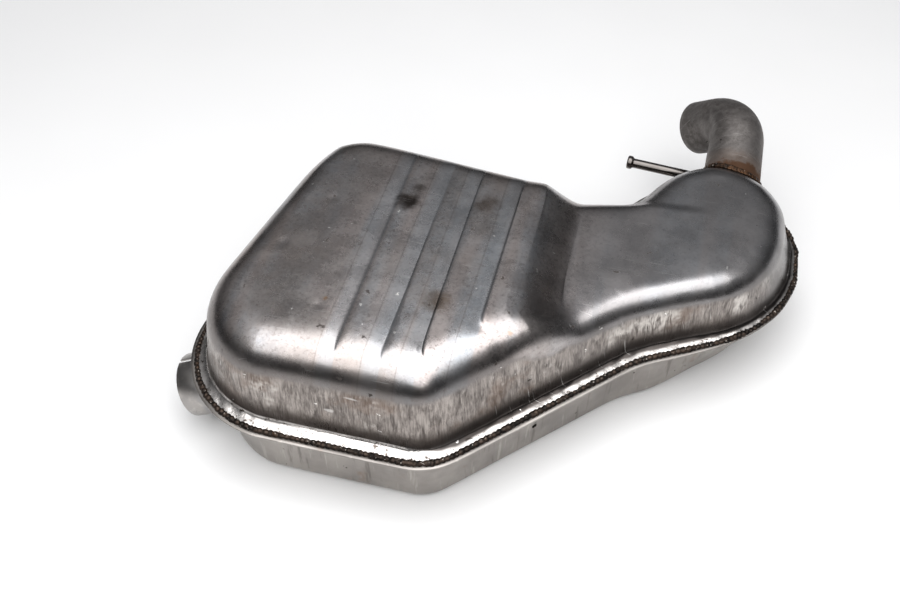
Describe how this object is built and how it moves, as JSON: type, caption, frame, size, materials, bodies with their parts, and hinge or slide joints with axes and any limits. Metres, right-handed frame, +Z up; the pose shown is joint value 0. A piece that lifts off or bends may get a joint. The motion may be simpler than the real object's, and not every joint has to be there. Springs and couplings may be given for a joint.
{
  "type": "exhaust muffler",
  "caption": "Two-shell stamped steel rear silencer with a slotted inlet collar, a bent tail pipe, a welded seam flange and a hanger rod.",
  "frame": {"origin": "on the flat underside of the main box, at the point where the part rests", "axes": "+Z up, square to the seam plane; +X along the length, from the inlet end to the lobe with the tail pipe; +Y across, towards the tail pipe side"},
  "size_m": [0.5531, 0.5283, 0.168],
  "materials": {
    "stamped_sheet": "satin rolled sheet with draw marks and light weathering",
    "weld_bead": "rough rippled bead with brown oxide",
    "pipe_steel": "satin tube, heat tinted at the welds",
    "inner_steel": "plain rolled steel",
    "bright_rod": "bright drawn rod",
    "glass_wool": "long glass strands, packed"
  },
  "bodies": {
    "root": {"upper_shell": "stamped_sheet", "lower_shell": "stamped_sheet", "seam_weld": "weld_bead", "inlet_collar": "pipe_steel", "inlet_weld": "weld_bead", "inlet_pipe": "inner_steel", "front_baffle": "inner_steel", "middle_baffle": "inner_steel", "rear_baffle": "inner_steel", "wool_pack": "glass_wool", "wool_screen": "inner_steel", "crossover_pipe": "inner_steel", "outlet_pipe": "inner_steel", "bell_mouth": "inner_steel", "pipe_welds": "weld_bead", "tail_pipe": "pipe_steel", "tail_weld": "weld_bead", "hanger_rod": "bright_rod", "hanger_bracket": "inner_steel", "hanger_weld": "weld_bead"}
  },
  "joints": []
}
